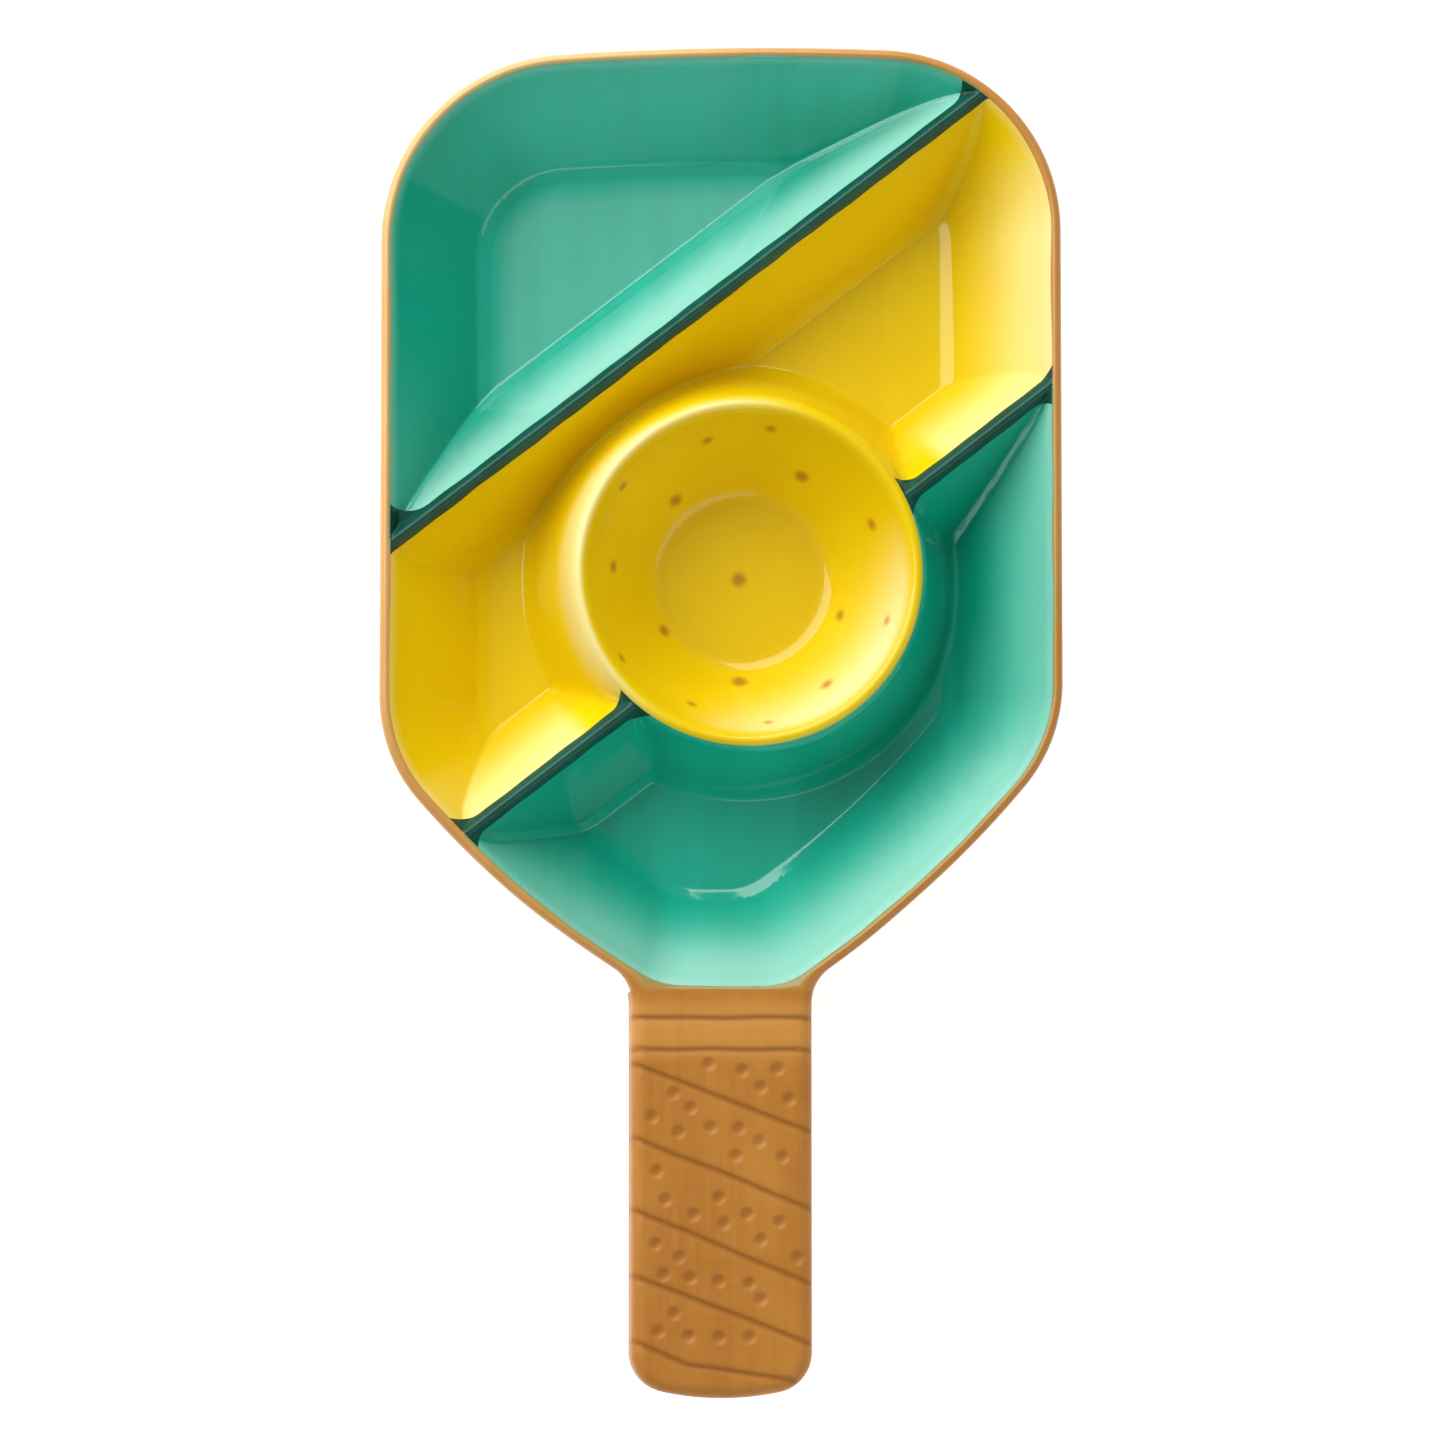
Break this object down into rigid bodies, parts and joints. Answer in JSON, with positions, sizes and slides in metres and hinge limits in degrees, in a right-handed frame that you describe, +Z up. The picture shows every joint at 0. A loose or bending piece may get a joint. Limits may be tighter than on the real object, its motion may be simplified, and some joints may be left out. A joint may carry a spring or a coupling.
{
  "type": "chip and dip server",
  "caption": "Glazed ceramic chip and dip server in the outline of a short racket, with slanting dividers, a fixed round dip bowl and an embossed handle.",
  "frame": {"origin": "on the table, under the middle of the server's length and width", "axes": "+X to the right, +Y away from the handle along the length, +Z up"},
  "size_m": [0.2052, 0.406, 0.0454],
  "materials": {
    "brown_glaze": "warm brown gloss glaze, brushed, like wood",
    "green_glaze": "court-green gloss glaze, brushed",
    "yellow_glaze": "ball-yellow gloss glaze",
    "dark_green_glaze": "dark green gloss glaze",
    "bare_clay": "unglazed, ground flat"
  },
  "bodies": {
    "root": {"paddle_shell": "brown_glaze", "rim_band": "brown_glaze", "handle_grip": "brown_glaze", "upper_compartment": "green_glaze", "middle_compartment": "yellow_glaze", "lower_compartment": "green_glaze", "dip_bowl": "yellow_glaze", "long_divider_crest": "dark_green_glaze", "left_divider_crest": "dark_green_glaze", "right_divider_crest": "dark_green_glaze", "foot_ring": "bare_clay"}
  },
  "joints": []
}
